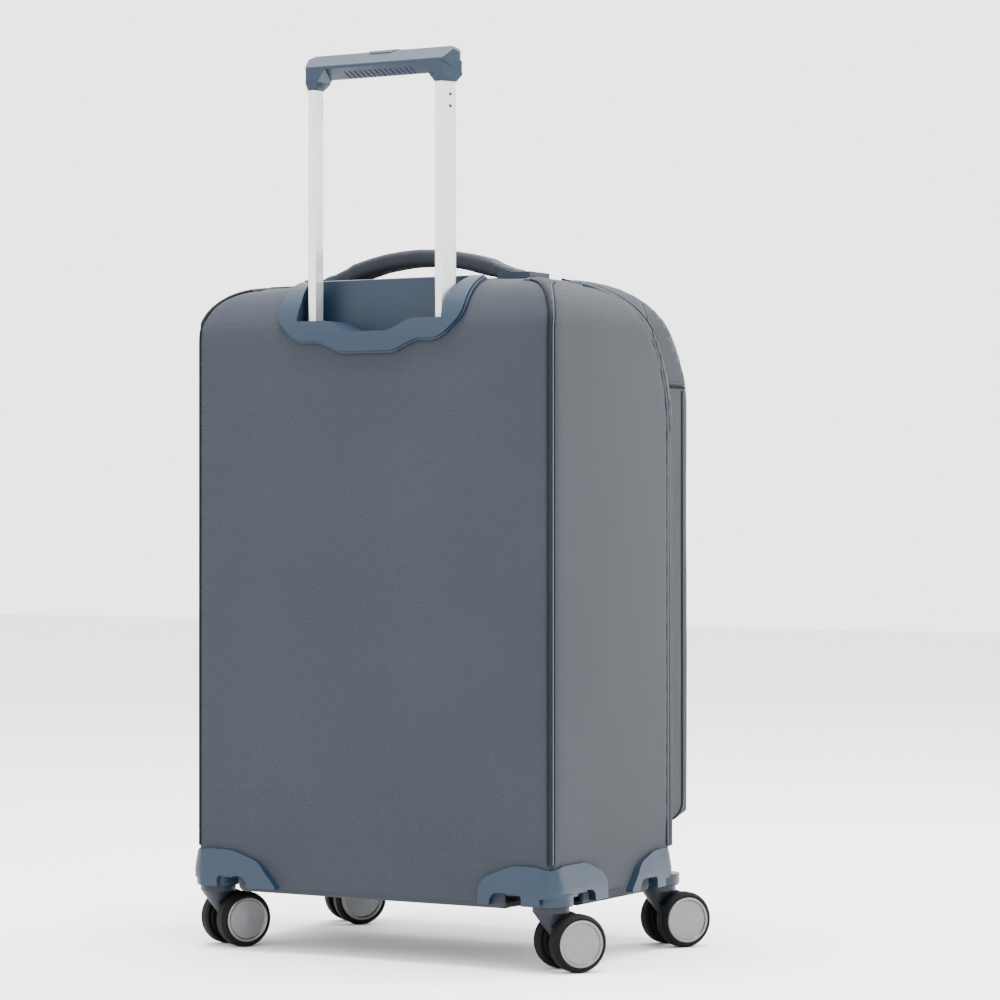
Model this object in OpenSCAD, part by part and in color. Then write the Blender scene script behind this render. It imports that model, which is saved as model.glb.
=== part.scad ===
// Softside upright suitcase: a fabric case on four twin-wheel swivel casters,
// with a telescopic trolley handle that stows in a cup at the top of the back,
// a zipped front door with two pockets, and a carry handle on the top and one side.
// Millimetres. +Z is up, the floor is z = 0, the front faces -Y and the trolley is at +Y.

/* [Case] */
// Width of the case across its side panels
case_width = 424; // [412:1:436]
// Height of the top of the case above the floor
case_top = 691; // [680:1:700]
// Height of the bottom of the case above the floor
case_bottom = 61; // [60:0.5:62]
// Depth of the side panel from the back of the case to its front welt
side_depth = 252; // [248:1:256]
// Thickness of the padded fabric walls
wall = 4; // [3:0.5:5]
// Radius of the rolled top edge at the back
back_roll = 58; // [50:1:62]
// Radius of the rounded top edge at the front
front_roll = 158; // [140:2:170]
// Radius of the top corners seen from the front
top_corner = 50; // [40:1:56]

/* [Front door and pockets] */
// Depth of the fixed front rim in front of the side welt
rim_depth = 10; // [8:1:12]
// Width of the fixed front rim
rim_width = 18; // [14:1:22]
// How far the pockets stand in front of the rim
pocket_depth = 57; // [48:1:60]
// Height of the lower edge of the door above the floor
door_bottom = 128; // [124:1:134]
// Height of the seam between the lower pocket and the yoke
yoke_seam = 587; // [560:1:600]

/* [Trolley] */
// Half the distance between the inner faces of the two trolley tubes
tube_inner = 71.5; // [68:0.5:74]
// Height of the underside of the grip with the handle as stored
grip_base = 889; // [880:1:900]
// Half the length of the grip at its front edge
grip_half = 92; // [90:0.5:93]
// Height of the grip
grip_height = 37.5; // [34:0.5:39]
// Wall of each trolley tube
tube_wall = 1; // [0.8:0.1:1.2]

/* [Casters] */
// Wheel radius
wheel_r = 29; // [28:0.5:29]
// Distance from the swivel axis back to the axle
trail = 20.6; // [19:0.2:21]
// Width of each wheel
wheel_width = 18.4; // [16:0.2:18.6]
// Distance of each swivel axis from the middle of the case, left to right
swivel_x = 200; // [198:1:202]
// Turn of the casters in order: rear left, rear right, front left, front right
caster_yaw = [144.3, 151.9, 146.3, 139.1];

/* [Carry handles] */
// Length of a carry handle between its end boots
handle_span = 236; // [220:2:250]
// How far the top carry handle rises above the case
handle_rise = 36; // [32:1:42]

/* [Hidden] */
$fn = 64;

// ---- main planes ----
half_w = case_width / 2;
back_y = 155;
welt_y = back_y - side_depth;
rim_y = welt_y - rim_depth;
pocket_y = rim_y - pocket_depth;
body_r = 8;
// the door's top seam runs across the shoulder at this depth
door_split = -62;
// the back panel rolls over the top edge as far forward as this
top_seam = 95;
strip = 3.5;
// half the width of the flat part of the top, between its rounded corners
flat_top = half_w - top_corner - 4;

// ---- trolley layout ----
tube_back = back_y - 9.9;
tube_front = tube_back - 17;
tube_r = 2.5;
slip = 0.3;
mid_r = tube_r + slip + tube_wall;
outer_r = mid_r + slip + tube_wall;
cup_half = 95.5;
cup_front = 114;
cup_floor = 650.5;
cup_mid_floor = 638.5;

// ---- caster layout ----
rear_swivel_y = back_y - 21;
front_swivel_y = back_y - 250.6;
boss_r = 22.5;
well_r = 45;
well_top = 76;
pin_r = 5;
axle_r = 3;
run = 0.05;
bracket_proud = 8;
bracket_top = 104;

fabric = [0.34, 0.39, 0.43];
fabric_dark = [0.22, 0.26, 0.30];
slate = [0.33, 0.43, 0.52];
navy = [0.16, 0.21, 0.28];
silver = [0.82, 0.83, 0.84];
black = [0.05, 0.05, 0.055];

// ---- outlines ----
function unit(v) = v / norm(v);
// A corner p between neighbours a and b, rounded to radius r in n steps
function corner(p, a, b, r, n) = r <= 0 ? [p] :
    let (u = unit(a - p), v = unit(b - p), half = acos(u * v) / 2,
        c = p + unit(u + v) * r / sin(half),
        s = p + u * r / tan(half) - c, e = p + v * r / tan(half) - c,
        a0 = atan2(s[1], s[0]), d = atan2(e[1], e[0]) - a0,
        sweep = d > 180 ? d - 360 : d < -180 ? d + 360 : d)
    [for (i = [0:n]) c + r * [cos(a0 + sweep * i / n), sin(a0 + sweep * i / n)]];
// A closed outline with its own radius at each corner
function rounded(pts, radii, n = 6) = let (m = len(pts))
    [for (i = [0:m - 1]) each corner(pts[i], pts[(i + m - 1) % m], pts[(i + 1) % m], radii[i], n)];

// Side view (y, z) of the case, grown by t; lead is how far its front stands before the welt
module side_outline(t = 0, lead = 0, roll = front_roll - 8) {
    f = welt_y - lead;
    polygon(rounded([[back_y + t, case_bottom - t], [back_y + t, case_top + t],
        [f - t, case_top + t], [f - t, case_bottom - t]],
        [body_r + t, back_roll + t, roll + lead * 0.8 + t, body_r + t], 14));
}
// Side view of the door's outer face, shrunk by t
module door_outline(t = 0) {
    polygon(rounded([[120, door_bottom + t], [120, case_top + 2.2 - t], [pocket_y + t, case_top + 2.2 - t],
        [pocket_y + t, door_bottom + t]], [0, 0, 172 - t, 34 - t], 16));
}
// Extrudes a side view across the case, from -half to +half
module across(half) { rotate([90, 0, 90]) translate([0, 0, -half]) linear_extrude(2 * half) children(); }
// Extrudes a front view (x, z) from y0 to y1
module along(y0, y1) { translate([0, y1, 0]) rotate([90, 0, 0]) linear_extrude(y1 - y0) children(); }

// Front view of the case, grown by t
module front_outline(t = 0) {
    polygon(rounded([[half_w + t, case_bottom - t], [half_w + t, case_top + t],
        [-half_w - t, case_top + t], [-half_w - t, case_bottom - t]],
        [body_r + t, top_corner + t, top_corner + t, body_r + t], 10));
}
// Plan of the case, grown by t
module plan_outline(t = 0, y0 = welt_y) {
    polygon(rounded([[half_w + t, y0 - t], [half_w + t, back_y + t], [-half_w - t, back_y + t],
        [-half_w - t, y0 - t]], [2, body_r + t, body_r + t, 2], 6));
}
// The whole fixed body as one block, grown by t
module case_block(t = 0, lead = 0) {
    intersection() {
        across(half_w + t + 1) side_outline(t, lead);
        along(-300, 300) front_outline(t);
        translate([0, 0, -50]) linear_extrude(900) plan_outline(t, welt_y - lead);
    }
}
module at_casters(list = [0, 1, 2, 3]) {
    for (i = list) translate(caster_at(i)) rotate([0, 0, caster_yaw[i]]) children();
}
function caster_at(i) = [(i % 2 == 0 ? -1 : 1) * swivel_x, i < 2 ? rear_swivel_y : front_swivel_y, 0];
// Room over each caster for its fork and wheels
module wheel_wells(grow = 0) {
    for (i = [0:3]) translate(caster_at(i)) translate([0, 0, 40])
        cylinder(r = well_r + grow, h = well_top + 5 + grow - 40);
}

// ---- trolley outlines ----
// Plan of a right-hand trolley tube: straight inner face, slanted outer face
module tube_plan(r) {
    c = tube_r;
    y0 = tube_front + c;
    y1 = tube_back - c;
    x0 = tube_inner + c;
    core = [[x0, y0], [x0 + 11.6, y0], [x0 + 4.4, y1], [x0, y1]];
    polygon(rounded(grown(core, r), [r, r, r, r], 5));
}
// Moves each side of a convex outline, listed anticlockwise, out by d
function grown(p, d) = let (m = len(p)) [for (i = [0:m - 1])
    let (u = unit(p[i] - p[(i + m - 1) % m]), v = unit(p[(i + 1) % m] - p[i]),
        nu = [u[1], -u[0]], nv = [v[1], -v[0]])
    p[i] + (nu + nv) * d / (1 + nu * nv)];
module both_sides() { children(); mirror([1, 0, 0]) children(); }
module tube(r, z0, z1) {
    both_sides() translate([0, 0, z0]) linear_extrude(z1 - z0) tube_plan(r);
}
// Front view of the cup's opening, with a deeper scoop in the middle of its floor
module cup_opening(t = 0) {
    half = [[0, cup_mid_floor - t], [26, cup_mid_floor - t], [50, cup_floor - t], [cup_half + 3 + t, cup_floor - t],
        [cup_half + 3 + t, case_top + 40]];
    polygon(rounded(mirrored_ring(half), twice_ring([0, 22, 22, 6 + t, 0]), 5));
}
// Plan of the cup: narrower at the back, like the grip that stows in it
module cup_plan(t = 0) {
    b = cup_half - 9;
    polygon(rounded([[cup_half + t, cup_front - t], [cup_half + t, cup_front + 4], [b + t, tube_back + 3],
        [b + t, 240], [-b - t, 240], [-b - t, tube_back + 3], [-cup_half - t, cup_front + 4], [-cup_half - t, cup_front - t]],
        [3 + t / 2, 0, 0, 0, 0, 0, 0, 3 + t / 2], 4));
}
// The space inside the cup, grown by t
module cup_space(t = 0) {
    intersection() {
        along(cup_front - t - 6, 220) cup_opening(t);
        translate([0, 0, 600]) linear_extrude(200) cup_plan(t);
    }
}
// Front view of the outside of the cup's lip
module cup_rim(t = 0) {
    half = [[0, 616 - t], [31, 616 - t], [58, 627.5 - t], [86, 627.5 - t], [113 + t, 653], [113 + t, case_top + 40]];
    polygon(rounded(mirrored_ring(half), twice_ring([0, 24, 26, 30, 26, 0]), 6));
}
function mirrored_ring(p) = concat([for (i = [1:len(p) - 1]) p[i]],
    [for (i = [len(p) - 1:-1:1]) [-p[i][0], p[i][1]]]);
function twice_ring(r) = concat([for (i = [1:len(r) - 1]) r[i]], [for (i = [len(r) - 1:-1:1]) r[i]]);

// ================= fixed case =================
handle_y = 45;
module handle_slots() {
    for (s = [-1, 1]) translate([s * handle_span / 2 - 9, handle_y - 13, case_top - 30]) cube([18, 26, 60]);
    for (s = [-1, 1]) translate([half_w - 30, 30 - 13, side_handle_z + s * handle_span / 2 - 9]) cube([60, 26, 18]);
}
module case_hollow(t) {
    intersection() {
        across(half_w - t) side_outline(-t, 0);
        along(-300, back_y - t) front_outline(-t);
    }
    // open at the front over the door's height
    intersection() {
        across(half_w - t) translate([-200, 0]) square([201, 900]);
        along(-300, 0) front_outline(-t);
    }
}
// Space taken by the back panel, which rolls over the top edge
module back_zone(grow = 0) {
    intersection() {
        along(top_seam - grow, 200) {
            front_outline(-strip + grow);
            translate([-flat_top - grow, case_top - 60]) square([2 * (flat_top + grow), 70]);
        }
        translate([-300, 0, case_bottom + strip - grow]) cube([600, 300, 900]);
    }
}
// Space taken by the strip that wraps the back corners
module strip_zone(grow = 0) {
    difference() {
        translate([-300, top_seam - grow, case_bottom + 5 - grow]) cube([600, 200, 900]);
        across(301) side_outline(-6 - grow);
        along(-10, 400) front_outline(-strip - 2);
        translate([-flat_top + grow, 0, case_top - 60]) cube([2 * (flat_top - grow), 300, 100]);
    }
}
// Side panels, top and bottom as one band of padded fabric
module gusset() {
    color(fabric) difference() {
        case_block(0, 0);
        case_hollow(wall);
        back_zone();
        strip_zone();
        wheel_wells(0.6);
        handle_slots();
    }
}
// Back panel of padded fabric over a stiff sheet
module back_panel() {
    color(fabric) difference() {
        intersection() { case_block(0, 0); back_zone(-0.1); }
        across(300) side_outline(-5);
        wheel_wells(0.6);
        cup_space(4);
    }
}
module front_opening(grow) {
    intersection() {
        along(-400, 60) polygon(rounded([[half_w - rim_width + grow, door_bottom - 2 - grow],
            [half_w - rim_width + grow, case_top - rim_width + grow],
            [-half_w + rim_width - grow, case_top - rim_width + grow],
            [-half_w + rim_width - grow, door_bottom - 2 - grow]], [14, 40, 40, 14], 8));
        translate([-300, -400, 0]) cube([600, 400 + door_split - 4 + grow, 900]);
    }
}
// Fixed rim in front of the side welt, with the door opening in it
module front_rim() {
    color(fabric) difference() {
        case_block(0, rim_depth);
        across(half_w + 5) side_outline(0.1, 0);
        front_opening(0);
        translate([-300, 20, 0]) cube([600, 300, 900]);
        translate([-300, -300, 0]) cube([600, 400, bracket_top + 1.5]);
    }
}
// Padded shoulder that carries the curve of the door on over the top
module shoulder() {
    color(fabric) difference() {
        door_region(0);
        translate([-300, -300, 0]) cube([600, 300 + door_split, 900]);
        translate([-300, 20, 0]) cube([600, 100, 900]);
        across(300) side_outline(0.2, rim_depth);
    }
}
// Thin lining fabric inside the band
module lining() {
    color(fabric_dark) difference() {
        intersection() {
            across(half_w - wall - 0.2) side_outline(-wall - 0.2, 0);
            along(welt_y + 12, top_seam - 1) front_outline(-wall - 0.2);
        }
        intersection() {
            across(half_w - wall - 1.2) side_outline(-wall - 1.2, 0);
            along(-400, 400) front_outline(-wall - 1.2);
        }
        translate([-300, welt_y, 0]) cube([600, 300, case_bottom + 24]);
        handle_slots();
    }
}
// Board inside the case that covers the trolley tubes
module inner_board() {
    color(fabric_dark) difference() {
        intersection() {
            across(half_w - wall - 2) side_outline(-wall - 2, 0);
            along(106, 109) front_outline(-wall - 2);
        }
        translate([-300, 0, 0]) cube([600, 300, case_bottom + 25]);
    }
}
// Flat floor of the packing space, over the wheel wells
module floor_board() {
    color(fabric_dark) translate([0, 0, case_bottom + 21.2]) linear_extrude(3)
        polygon(rounded([[half_w - 6, welt_y + 12], [half_w - 6, 105.5], [-half_w + 6, 105.5],
            [-half_w + 6, welt_y + 12]], [4, 4, 4, 4], 4));
}
// Strip round the back corners, piping along the front edge and binding at the foot of each side
module welts() {
    color(fabric_dark) {
        // back strip
        difference() {
            intersection() { case_block(0, 0); strip_zone(-0.1); }
            along(-10, 400) front_outline(-strip + 0.02);
            translate([-flat_top - 0.1, 0, case_top - 60]) cube([2 * flat_top + 0.2, 300, 100]);
            wheel_wells(0.6);
        }
        // front piping, proud of the side panels
        for (s = [-1, 1]) intersection() {
            translate([s * (half_w + 0.95), 0, 0]) cube([1.8, 600, 2000], center = true);
            difference() { across(300) side_outline(0.8); across(301) side_outline(-2.6); }
            translate([-300, -200, bracket_top + 1.5]) cube([600, 200, case_top - top_corner - bracket_top - 1.5]);
        }
        // foot binding
        for (s = [-1, 1]) translate([s * (half_w + 0.75), 26, case_bottom + 6]) cube([1.4, 46, 8], center = true);
    }
}
// Zip tape round the fixed side of the door's edge
module door_zip_track() {
    color(black) {
        intersection() {
            difference() { across(half_w) side_outline(1.2, rim_depth); across(301) side_outline(0.1, rim_depth); }
            difference() { door_face(-5); door_face(-0.5); }
            translate([-300, -300, 0]) cube([600, 300 + door_split - 2, case_top - top_corner]);
        }
        intersection() {
            difference() { door_region(-1.1); door_region(-0.05); }
            translate([-160, door_split + 0.2, 600]) cube([320, 6, 100]);
        }
    }
}
// A band that follows the rolled edge of the case, inside the lip's outline
module lip_band(proud, inset) {
    intersection() {
        along(cup_front - 3.6 + inset / 10, 210) cup_rim(-inset);
        difference() { across(160) side_outline(proud); across(161) side_outline(0.2); }
    }
}
// Plastic cup and lip at the top of the back, where the grip stows
module trolley_cup() {
    color(slate) difference() {
        union() {
            lip_band(3.2, 0);
            lip_band(5.2, 2.5);
            intersection() { cup_space(3); across(160) side_outline(2.5); }
        }
        cup_space(0);
        tube(mid_r + slip, 500, 700);
    }
}
// Fixed outer tubes of the trolley
module outer_tubes() {
    color(silver) difference() {
        tube(outer_r, 76, cup_floor - 9);
        tube(mid_r + slip, 70, 700);
    }
}
// Blocks that anchor the outer tubes to the bottom
module tube_feet() {
    color(black) both_sides() difference() {
        translate([62, 119, case_bottom + 5.2]) cube([40, 27.5, 9.6]);
        translate([75, 136, 0]) cylinder(r = 2.5, h = 200);
    }
}
function arch_r(rise) = (pow(handle_span / 2, 2) + rise * rise) / (2 * rise);
// A padded arch in the xz plane: its ends at z = 0, its crown at z = rise
module arch(rise, thick, width) {
    r = arch_r(rise - thick / 2);
    half = asin(handle_span / 2 / r);
    translate([0, 0, rise - thick / 2 - r]) rotate([90, 0, 0]) rotate([0, 0, 90 - half])
        rotate_extrude(angle = 2 * half, $fn = 200)
            translate([r, 0]) polygon(rounded([[-thick / 2, -width / 2], [thick / 2, -width / 2],
                [thick / 2, width / 2], [-thick / 2, width / 2]], [6, 6, 6, 6], 4));
}
// Boots that hold the ends of both carry handles, open towards the middle
module boots() {
    for (s = [0, 1]) mirror([s, 0, 0]) translate([handle_span / 2, 0, 0]) difference() {
        translate([-19, -21, -7]) cube([38, 42, 16]);
        translate([-30, -16.5, -8]) cube([40, 33, 30]);
    }
}
module handle_boots() {
    color(slate) {
        difference() {
            translate([0, handle_y, case_top]) boots();
            across(300) side_outline(0.1);
        }
        difference() {
            translate([half_w, 30, side_handle_z]) rotate([0, 90, 0]) boots();
            translate([0, -300, 0]) cube([half_w + 0.1, 600, 900]);
        }
    }
}
side_handle_z = 380;
// ---- caster brackets: a corner shell with one long and one short wing ----
// Side view of a wing: level near the corner, with a crest and then a sloped or an upright round end
module wing_profile(length, sloped) {
    end = sloped ? [[length, 66], [length - 25, 94], [length - 58, bracket_top]] :
        [[length, 66], [length - 1, 91], [length - 38, bracket_top + 1]];
    polygon(rounded(concat([[-30, 66]], end, [[26, bracket_top + 1], [6, 101], [-30, 101]]),
        concat([0, 2], sloped ? [30, 60] : [20, 40], [20, 10, 0]), 6));
}
// The arch cut in a wing's lower edge beside the drum, from one distance to another
module wing_arch(near, far) {
    polygon(rounded([[near, 40], [near, 78], [far - 3, 78], [far + 3, 40]], [0, 5, 9, 0], 5));
}
module bracket(i, x_wing, y_wing) {
    sx = i % 2 == 0 ? -1 : 1;
    sy = i < 2 ? 1 : -1;
    edge_y = i < 2 ? back_y : welt_y;
    color(slate) difference() {
        union() {
            difference() {
                intersection() {
                    bracket_shell();
                    union() {
                        // wing along x
                        intersection() {
                            along(-200, 200) translate([sx * (half_w + bracket_proud), 0]) mirror([sx > 0 ? 1 : 0, 0])
                                wing_profile(x_wing, i == 1 || i == 3);
                            translate([sx > 0 ? 0 : -300, sy > 0 ? edge_y - 6 : edge_y - 20, 0]) cube([300, 26, 200]);
                        }
                        // wing along y
                        intersection() {
                            across(300) translate([edge_y + sy * bracket_proud, 0]) mirror([sy > 0 ? 1 : 0, 0])
                                wing_profile(y_wing, i > 1);
                            translate([sx > 0 ? half_w - 6 : -half_w - 20, -300, 0]) cube([26, 600, 200]);
                        }
                    }
                }
                translate(caster_at(i)) cylinder(r = boss_r + 6, h = well_top - 2);
                along(edge_y - 12, edge_y + 12) translate([sx * half_w, 0]) mirror([sx > 0 ? 1 : 0, 0])
                    wing_arch(30, 68);
                translate([sx * half_w, 0, 0]) across(12) translate([edge_y, 0]) mirror([sy > 0 ? 1 : 0, 0])
                    wing_arch(40, i % 2 == 0 ? 79 : 62);
            }
            // ceiling of the wheel well
            intersection() {
                translate(caster_at(i)) translate([0, 0, well_top]) cylinder(r = well_r, h = 5);
                translate([0, 0, 50]) linear_extrude(60) plan_round(bracket_proud - 2, 22);
            }
            // drum that carries the swivel pin
            translate(caster_at(i)) {
                translate([0, 0, 65]) cylinder(r1 = boss_r - 1, r2 = boss_r, h = 2);
                translate([0, 0, 67]) cylinder(r = boss_r, h = well_top - 66);
            }
        }
        translate(caster_at(i)) translate([0, 0, 40]) cylinder(r = pin_r + 0.01, h = 60);
        screw_places(i) translate([0, 0, 40]) cylinder(r = 2.1, h = 60);
    }
}
// A shell round the foot of the case: upright at first, then leaning in towards its top
module bracket_shell() {
    difference() {
        hull() {
            translate([0, 0, 57]) linear_extrude(27) plan_round(bracket_proud, 22);
            translate([0, 0, bracket_top + 2]) linear_extrude(1) plan_round(3, 14);
        }
        translate([0, 0, 40]) linear_extrude(100) plan_outline(0.3);
    }
}
module plan_round(t, r) {
    polygon(rounded([[half_w + t, welt_y - t], [half_w + t, back_y + t], [-half_w - t, back_y + t],
        [-half_w - t, welt_y - t]], [r, r, r, r], 6));
}
module screw_places(i) {
    turns = i < 2 ? [135, 205, 275] : [80, 125, 170];
    for (a = turns) translate(caster_at(i)) rotate([0, 0, i % 2 == 0 ? 180 - a : a]) translate([16, 0, 0])
        children();
}
// Pins on which the four casters swivel, each with a ring that holds its fork up
module swivel_pins() {
    color(silver) for (i = [0:3]) translate(caster_at(i)) {
        translate([0, 0, 50]) cylinder(r = pin_r, h = well_top + 8 - 50);
        translate([0, 0, 55]) cylinder(r = pin_r + 1, h = 2);
    }
}
module bracket_screws() {
    color(silver) for (i = [0:3]) screw_places(i) {
        translate([0, 0, 66.4]) cylinder(r = 2, h = 15);
        translate([0, 0, well_top + 5.1]) cylinder(r = 3.6, h = 1);
    }
}

// ================= front door =================
// Front view of the door, shrunk by t
module door_face_outline(t) {
    polygon(rounded([[half_w - 7 - t, door_bottom + t], [half_w - 7 - t, case_top + 2.2 - t],
        [-half_w + 7 + t, case_top + 2.2 - t], [-half_w + 7 + t, door_bottom + t]],
        [20 - t, top_corner - 4 - t, top_corner - 4 - t, 20 - t], 8));
}
module door_face(t) { along(-400, 60) door_face_outline(t); }
module door_region(t) {
    intersection() {
        across(half_w - 7 - t) door_outline(t);
        door_face(t);
        translate([0, 0, 50]) linear_extrude(800) polygon(rounded([[half_w - 7 - t, pocket_y + t],
            [half_w - 7 - t, 100], [-half_w + 7 + t, 100], [-half_w + 7 + t, pocket_y + t]],
            [18 - t, 0, 0, 18 - t], 8));
    }
}
module door_space(z0, z1) {
    translate([-300, -300, z0]) cube([600, 300 + door_split - 0.4, z1 - z0]);
}
// The door itself: a stiffened sheet that bends over the front of the case
module door_panel() {
    color(fabric) intersection() {
        door_region(0);
        door_space(0, 900);
        difference() { across(300) side_outline(4.8, rim_depth); across(301) side_outline(1.6, rim_depth); }
    }
}
module pocket(z0, z1) {
    color(fabric) difference() {
        intersection() { door_region(0); door_space(z0, z1); }
        across(300) side_outline(4.9, rim_depth);
        intersection() { door_region(3); translate([0, -3, 0]) door_space(z0 + 3, z1 - 3); }
    }
}
module lower_pocket() { pocket(door_bottom, yoke_seam - 0.1); }
module yoke_pocket() { pocket(yoke_seam + 0.1, case_top + 5); }
// Zip tape round the door's own edge
module door_zip_flap() {
    color(black) intersection() {
        difference() { door_region(-1); door_region(-0.05); }
        door_space(0, 900);
        union() {
            difference() { across(300) side_outline(8, rim_depth); across(301) side_outline(2, rim_depth); }
            translate([-155, door_split - 6.5, 600]) cube([310, 6.5, 100]);
        }
    }
}
// Zip of the lower pocket, down both of its sides and under it
module pocket_zip() {
    color(black) intersection() {
        difference() { door_region(-1); door_region(-0.05); }
        translate([-300, pocket_y + 19, 0]) cube([600, 6, yoke_seam - 4]);
    }
}

// ================= trolley =================
module mid_tubes() {
    color(silver) difference() { tube(mid_r, 84, cup_floor - 1.5); tube(tube_r + slip, 80, 700); }
}
module inner_tubes() {
    color(silver) difference() {
        tube(tube_r, 330, grip_base - 0.2);
        tube(tube_r - tube_wall, 320, 1000);
        rivet_places() cylinder(r = 1.55, h = 30, center = true);
    }
}
// The two screws in the slanted outer face of each tube, below the grip
module rivet_places() {
    both_sides() for (z = [grip_base - 13, grip_base - 25])
        translate([tube_inner + 13.4, (tube_front + tube_back) / 2 - 0.6, z]) rotate([0, 0, 23]) rotate([0, 90, 0]) children();
}
module grip_screws() {
    color(silver) intersection() {
        rivet_places() { cylinder(r = 1.5, h = 8, center = true); }
        tube(tube_r + 0.15, 800, 1000);
    }
}
grip_top = grip_base + grip_height;
// Side view (y, z) of the grip: a sloped underside, a sloped top and a ridge between them at the back
module grip_side() {
    polygon(rounded([[tube_back + 2.5, grip_base + 20.5], [tube_front - 8, grip_base + 8.5], [tube_front - 8, grip_top - 2],
        [tube_front - 1, grip_top], [tube_back + 2.5, grip_base + 23]], [2, 5, 5, 5, 2], 4));
}
// Plan of the grip: shorter at the back than at the front
module grip_plan() {
    b = grip_half - 9.5;
    polygon(rounded([[grip_half, tube_front - 9], [b, tube_back + 3], [-b, tube_back + 3], [-grip_half, tube_front - 9]],
        [6, 4, 4, 6], 4));
}
// Plan of a leg, from the distance x outwards, shrunk by t
module leg_plan(x, t = 0) {
    polygon(grown([[x + 2, tube_front - 3], [grip_half - 3.5, tube_front - 3], [grip_half - 11.5, tube_back + 0.6],
        [x + 2, tube_back + 0.6]], 2 - t));
}
module grip() {
    color(slate) difference() {
        union() {
            intersection() {
                across(grip_half + 2) grip_side();
                linear_extrude(1200) grip_plan();
                along(0, 200) polygon(rounded([[grip_half + 0.1, grip_base], [grip_half + 0.1, grip_top + 0.1],
                    [-grip_half - 0.1, grip_top + 0.1], [-grip_half - 0.1, grip_base]], [1, 16, 16, 1], 8));
            }
            // legs down to the tubes, wider towards the bar
            both_sides() hull() {
                translate([0, 0, grip_base]) linear_extrude(0.5) tube_plan(tube_r + 0.9);
                translate([0, 0, grip_base + 7]) linear_extrude(3) leg_plan(67);
            }
            both_sides() hull() {
                translate([0, 0, grip_base + 6.2]) linear_extrude(0.5) leg_plan(68, 0.2);
                translate([0, 0, grip_base + 20.5]) linear_extrude(1) leg_plan(58, 0.2);
            }
        }
        // pocket for the button, and channels for the rods
        button_pocket(0.5, 9);
        both_sides() translate([74, rod_y - 1, grip_base - 1]) cube([6.4, 6.4, 27.4]);
        translate([-80.4, rod_y - 1, grip_base + 19.8]) cube([160.8, 6.4, 6.6]);
        translate([-7, rod_y - 5.7, grip_base + 19.8]) cube([14, 8, 6.6]);
        translate([-7, rod_y - 5.7, grip_base + 26]) cube([14, 4.2, 8]);
        // ribs under the fingers
        for (x = [-39:6:39]) translate([x, tube_front - 10, grip_base + 7.6]) rotate([-66.5, 0, 0])
            cylinder(r = 1.1, h = 24, $fn = 16);
    }
}
rod_y = tube_front + 3.6;
// The button: wide at the front edge of the grip's top and narrow towards the back
module button_pocket(gap, depth) {
    translate([0, 0, grip_top - depth]) linear_extrude(20)
        polygon(grown([[-24, tube_front - 8.5], [24, tube_front - 8.5], [12, tube_front + 4], [-12, tube_front + 4]], gap));
}
module release_button() {
    color(slate) intersection() {
        translate([0, 0, 1]) across(60) grip_side();
        button_pocket(0, 5.5);
        translate([-60, tube_front - 7.5, 0]) cube([120, 40, 1200]);
    }
}
// Rods that carry the button's push down the tubes to the lock pins
module push_rods() {
    color(silver) {
        translate([-79, rod_y, grip_base + 23.2]) cube([158, 4.4, 3]);
        translate([-6, rod_y - 4.7, grip_base + 23.2]) cube([12, 6, 3]);
        translate([-6, rod_y - 4.7, grip_base + 26.1]) cube([12, 2.6, grip_height - 5.5 - 26.1]);
        both_sides() translate([75.5, rod_y + 0.4, 340]) cube([3.5, 3.5, grip_base + 23.3 - 340]);
    }
}

// ================= carry handles =================
module carry_handle(rise, thick) {
    intersection() {
        arch(rise, thick, 30);
        translate([-200, -50, 0]) cube([400, 100, 100]);
    }
    // webbing tongues that run down through the wall
    for (s = [-1, 1]) translate([s * handle_span / 2, 0, 0]) translate([-7, -11, -14]) cube([14, 22, 18]);
}
module top_handle() { color(fabric) translate([0, handle_y, case_top + 1]) carry_handle(handle_rise, 17.5); }
module side_handle() {
    color(fabric) translate([half_w + 1, 30, side_handle_z]) rotate([0, 90, 0]) carry_handle(handle_rise - 6, 14);
}

// ================= casters =================
// Fork in its own frame: swivel axis on z, axle along x at y = trail
module fork_shape() {
    difference() {
        union() {
            translate([0, 0, 59]) cylinder(r = 18.5, h = 5.4);
            hull() {
                translate([0, 0, 58.9]) cylinder(r = 18, h = 0.4, $fn = 32);
                translate([0, 4, 34]) cylinder(r = 4, h = 1, $fn = 32);
            }
            hull() {
                translate([0, 9, 50]) cube([17, 26, 2], center = true);
                translate([-8.5, trail, wheel_r]) rotate([0, 90, 0]) cylinder(r = 8.5, h = 17, $fn = 32);
            }
        }
        for (s = [0, 1]) mirror([s, 0, 0]) translate([wheel_in - 0.8, trail, wheel_r]) rotate([0, 90, 0])
            cylinder(r = wheel_r + 1.2, h = 30);
        translate([0, 0, 49.5]) cylinder(r = pin_r + run, h = 50);
        translate([0, 0, 54.9]) cylinder(r = pin_r + 1 + run, h = 2.2);
        translate([-20, trail, wheel_r]) rotate([0, 90, 0]) cylinder(r = axle_r + 0.01, h = 40);
    }
}
wheel_in = 9.4;
wheel_out = wheel_in + wheel_width;
cap_r = 23.6;
module fork(i) { color(navy) at_casters([i]) fork_shape(); }
module axle(i) {
    color(silver) at_casters([i]) translate([-wheel_out + 4, trail, wheel_r]) rotate([0, 90, 0])
        cylinder(r = axle_r, h = 2 * wheel_out - 8);
}
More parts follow.
